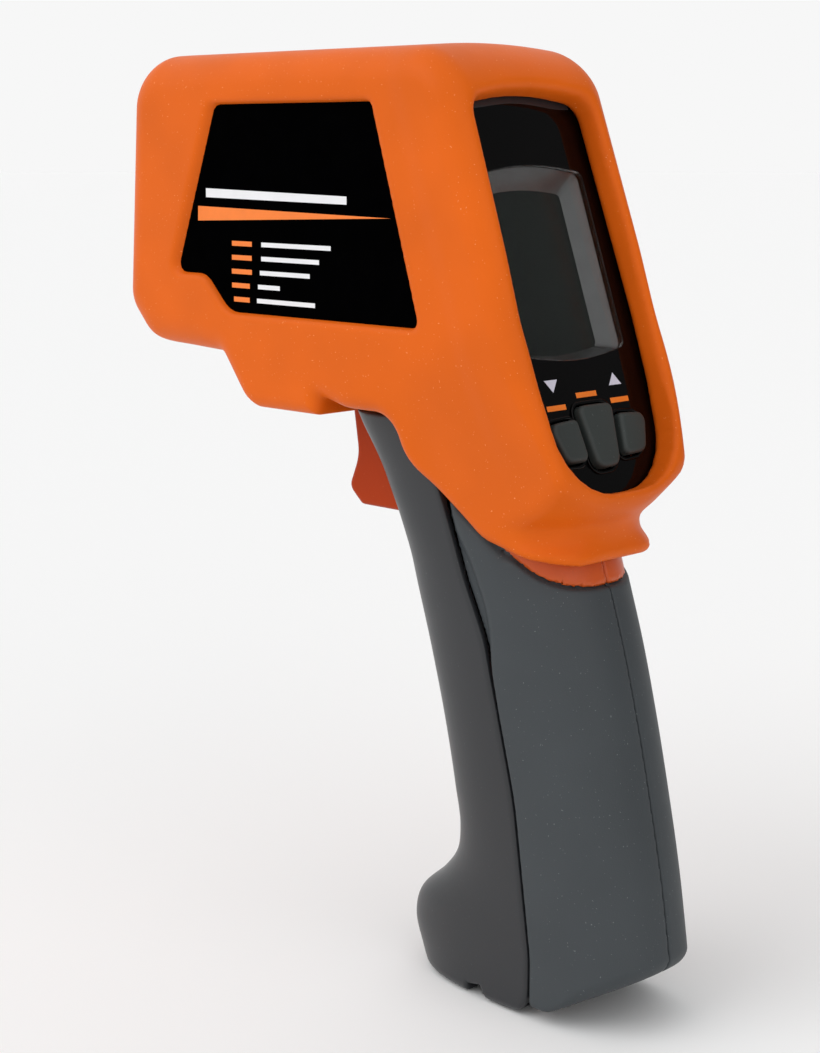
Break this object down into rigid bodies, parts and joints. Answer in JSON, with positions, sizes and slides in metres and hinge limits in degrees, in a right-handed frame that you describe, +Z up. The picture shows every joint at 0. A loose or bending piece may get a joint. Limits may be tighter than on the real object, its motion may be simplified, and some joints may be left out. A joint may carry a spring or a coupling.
{
  "type": "infrared thermometer",
  "caption": "Pistol-grip infrared thermometer: orange rubber-booted head with a sloping display and keys, trigger, and a charcoal handle whose front is the battery door.",
  "frame": {"origin": "on the ground under the middle of the bounding box, in the instrument's plane of symmetry", "axes": "+X is the way the instrument aims, +Y is its left, +Z is up"},
  "size_m": [0.1512, 0.05, 0.2024],
  "materials": {
    "boot_rubber": "satin",
    "shell_orange": "satin",
    "grip_rubber": "satin",
    "door_plastic": "satin",
    "steel": "satin",
    "foam": "matte",
    "trigger_plastic": "satin",
    "black_plastic": "satin",
    "ivory_plastic": "gloss",
    "label_black": "gloss",
    "lens_black": "gloss",
    "bezel_grey": "satin",
    "lcd_glass": "gloss",
    "diffuser": "gloss",
    "strip_rubber": "matte",
    "key_rubber": "matte",
    "mat_rubber": "matte",
    "board_green": "satin",
    "barrel_black": "satin",
    "ir_optic": "gloss",
    "ribbon_grey": "satin",
    "brass": "satin",
    "clear_window": "gloss",
    "battery_jacket": "satin",
    "wire_red": "satin",
    "wire_black": "satin"
  },
  "bodies": {
    "instrument": {"head_boot": "boot_rubber", "left_shell": "shell_orange", "right_shell": "shell_orange", "left_grip": "grip_rubber", "right_grip": "grip_rubber", "trigger_pin": "steel", "trigger_spring": "steel", "switch_body": "black_plastic", "left_label": "label_black", "right_label": "label_black", "display_lens": "lens_black", "lcd_bezel": "bezel_grey", "lcd_panel": "lcd_glass", "lcd_backlight": "diffuser", "contact_strip": "strip_rubber", "keypad_mat": "mat_rubber", "main_board": "board_green", "board_parts": "black_plastic", "buzzer": "black_plastic", "front_bezel": "black_plastic", "lens_barrel": "barrel_black", "ir_lens": "ir_optic", "lens_ring": "barrel_black", "sensor_can": "steel", "sensor_board": "board_green", "sensor_ribbon": "ribbon_grey", "laser_module": "brass", "laser_window": "clear_window", "battery": "battery_jacket", "battery_snap": "black_plastic", "lead_red": "wire_red", "lead_black": "wire_black", "head_screws": "steel", "handle_screws": "steel"},
    "trigger_lever": {"trigger": "trigger_plastic"},
    "switch_button": {"switch_plunger": "ivory_plastic"},
    "door": {"battery_door": "door_plastic", "door_hinge_pin": "steel", "battery_pad": "foam"},
    "left_button": {"key_left": "key_rubber"},
    "mode_button": {"key_mode": "key_rubber"},
    "right_button": {"key_right": "key_rubber"}
  },
  "joints": [
    {"name": "trigger_pull", "type": "hinge", "parent": "instrument", "child": "trigger_lever", "pos_m": [0.002, 0, 0.135], "axis": [0, 1, 0], "range_deg": [0, 8], "stiffness_Nm_per_rad": 0.6, "springref_deg": -14.32, "deforming": ["trigger_spring"]},
    {"name": "switch_travel", "type": "slide", "parent": "instrument", "child": "switch_button", "axis": [0, 0, 1], "range_m": [0, 0.00165]},
    {"name": "battery_door_hinge", "type": "hinge", "parent": "instrument", "child": "door", "pos_m": [-0.0433, 0, 0.0062], "axis": [0, 1, 0], "range_deg": [0, 65]},
    {"name": "left_key_press", "type": "slide", "parent": "instrument", "child": "left_button", "axis": [0.9426, 0, -0.3338], "range_m": [0, 0.0008], "stiffness_N_per_m": 400, "springref_m": -0.0015},
    {"name": "mode_key_press", "type": "slide", "parent": "instrument", "child": "mode_button", "axis": [0.9426, 0, -0.3338], "range_m": [0, 0.0008], "stiffness_N_per_m": 400, "springref_m": -0.0015},
    {"name": "right_key_press", "type": "slide", "parent": "instrument", "child": "right_button", "axis": [0.9426, 0, -0.3338], "range_m": [0, 0.0008], "stiffness_N_per_m": 400, "springref_m": -0.0015}
  ],
  "couplings": [
    {"joint": "switch_travel", "follows": "trigger_pull", "m_per_rad": 0.0115}
  ]
}
